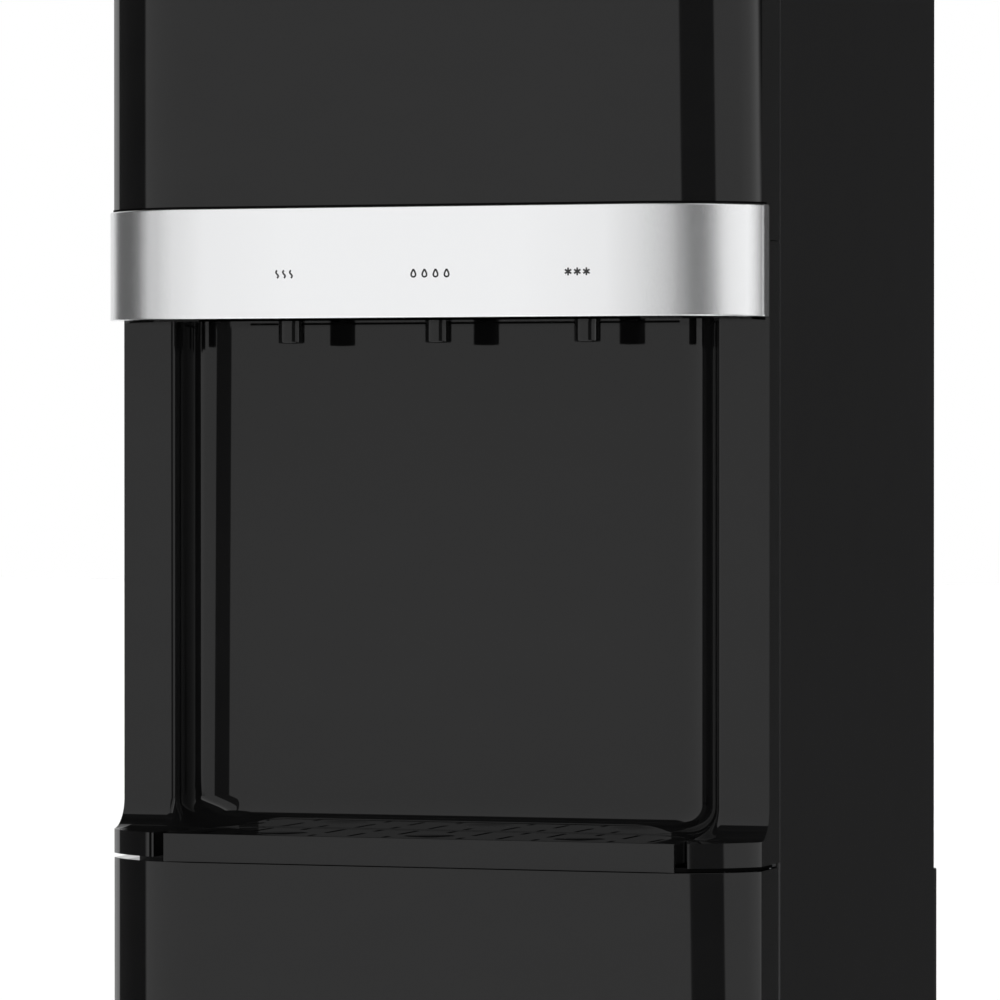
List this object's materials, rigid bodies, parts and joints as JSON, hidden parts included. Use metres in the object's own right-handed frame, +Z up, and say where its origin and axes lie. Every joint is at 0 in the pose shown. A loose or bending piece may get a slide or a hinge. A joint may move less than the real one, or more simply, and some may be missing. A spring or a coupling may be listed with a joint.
{
  "type": "water dispenser",
  "caption": "Floor-standing water dispenser: glossy rounded front, silver band, alcove with nozzles and drip tray, push buttons, hinged lower door over a bottle bay.",
  "frame": {"origin": "on the floor under the middle of the machine's box", "axes": "+Z up, -Y towards the user at the front, +X to the right of someone facing the front"},
  "size_m": [0.3134, 0.36, 1.04],
  "materials": {
    "gloss_black": "high gloss black",
    "satin_black": "fine satin texture",
    "silver_paint": "satin silver paint with fine flakes",
    "dark_steel": "satin powder coat",
    "zinc_steel": "zinc plated",
    "stainless": "brushed",
    "black_rubber": "matte",
    "white_foam": "moulded bead foam",
    "white_plastic": "satin",
    "silicone_hose": "satin",
    "green_board": "satin",
    "black_enamel": "semi-gloss enamel",
    "red_plastic": "semi-gloss",
    "blue_plastic": "semi-gloss"
  },
  "bodies": {
    "cabinet": {"upper_front_panel": "gloss_black", "silver_band": "silver_paint", "alcove_moulding": "gloss_black", "hot_nozzle": "gloss_black", "normal_nozzle": "gloss_black", "cold_nozzle": "gloss_black", "button_board": "green_board", "strike_plate": "zinc_steel", "upper_hinge_bracket": "zinc_steel", "lower_hinge_bracket": "zinc_steel", "left_side_panel": "dark_steel", "right_side_panel": "dark_steel", "base_plinth": "satin_black", "front_left_foot": "black_rubber", "front_right_foot": "black_rubber", "rear_left_foot": "black_rubber", "rear_right_foot": "black_rubber", "top_cover": "satin_black", "mid_deck": "zinc_steel", "tank_shelf": "zinc_steel", "bottle_shelf": "satin_black", "rear_lower_panel": "dark_steel", "rear_upper_panel": "dark_steel", "cold_tank_foam": "white_foam", "cold_tank": "stainless", "cold_tank_lid": "white_foam", "hot_tank": "stainless", "heater_flange": "zinc_steel", "compressor": "black_enamel", "compressor_bracket": "zinc_steel", "condenser": "black_enamel", "left_condenser_strip": "black_enamel", "right_condenser_strip": "black_enamel", "refrigerant_line": "black_enamel", "water_pump": "white_plastic", "bottle_probe": "white_plastic", "probe_hanger": "white_plastic", "suction_hose": "silicone_hose", "hot_valve": "white_plastic", "normal_valve": "white_plastic", "cold_valve": "white_plastic", "hot_pipe": "silicone_hose", "normal_pipe": "silicone_hose", "cold_pipe": "silicone_hose", "control_board": "green_board", "switch_bezel": "satin_black", "cable_gland": "satin_black", "drain_spout": "white_plastic"},
    "door": {"door_skin": "gloss_black", "door_liner": "satin_black", "door_magnet": "zinc_steel"},
    "tray": {"drip_tray": "gloss_black"},
    "grille": {"drip_grille": "satin_black"},
    "hot_key": {"hot_button": "gloss_black"},
    "normal_key": {"normal_button": "gloss_black"},
    "cold_key": {"cold_button": "gloss_black"},
    "hot_rocker": {"hot_switch": "red_plastic"},
    "cold_rocker": {"cold_switch": "blue_plastic"},
    "drain_stopper": {"drain_cap": "satin_black"}
  },
  "joints": [
    {"name": "door_hinge", "type": "hinge", "parent": "cabinet", "child": "door", "pos_m": [0.151, -0.1265, 0.3], "axis": [0, 0, 1], "range_deg": [0, 95]},
    {"name": "tray_slide", "type": "slide", "parent": "cabinet", "child": "tray", "axis": [0, -1, 0], "range_m": [0, 0.075]},
    {"name": "grille_lift", "type": "slide", "parent": "tray", "child": "grille", "axis": [0, 0, 1], "range_m": [0, 0.02]},
    {"name": "hot_press", "type": "slide", "parent": "cabinet", "child": "hot_key", "axis": [0, 1, 0], "range_m": [0, 0.003], "stiffness_N_per_m": 400},
    {"name": "normal_press", "type": "slide", "parent": "cabinet", "child": "normal_key", "axis": [0, 1, 0], "range_m": [0, 0.003], "stiffness_N_per_m": 400},
    {"name": "cold_press", "type": "slide", "parent": "cabinet", "child": "cold_key", "axis": [0, 1, 0], "range_m": [0, 0.003], "stiffness_N_per_m": 400},
    {"name": "hot_rock", "type": "hinge", "parent": "cabinet", "child": "hot_rocker", "pos_m": [0.084, 0.162, 0.93], "axis": [1, 0, 0], "range_deg": [0, 14]},
    {"name": "cold_rock", "type": "hinge", "parent": "cabinet", "child": "cold_rocker", "pos_m": [0.106, 0.162, 0.93], "axis": [1, 0, 0], "range_deg": [0, 14]},
    {"name": "drain_cap_pull", "type": "slide", "parent": "cabinet", "child": "drain_stopper", "axis": [0, 1, 0], "range_m": [0, 0.015]}
  ]
}
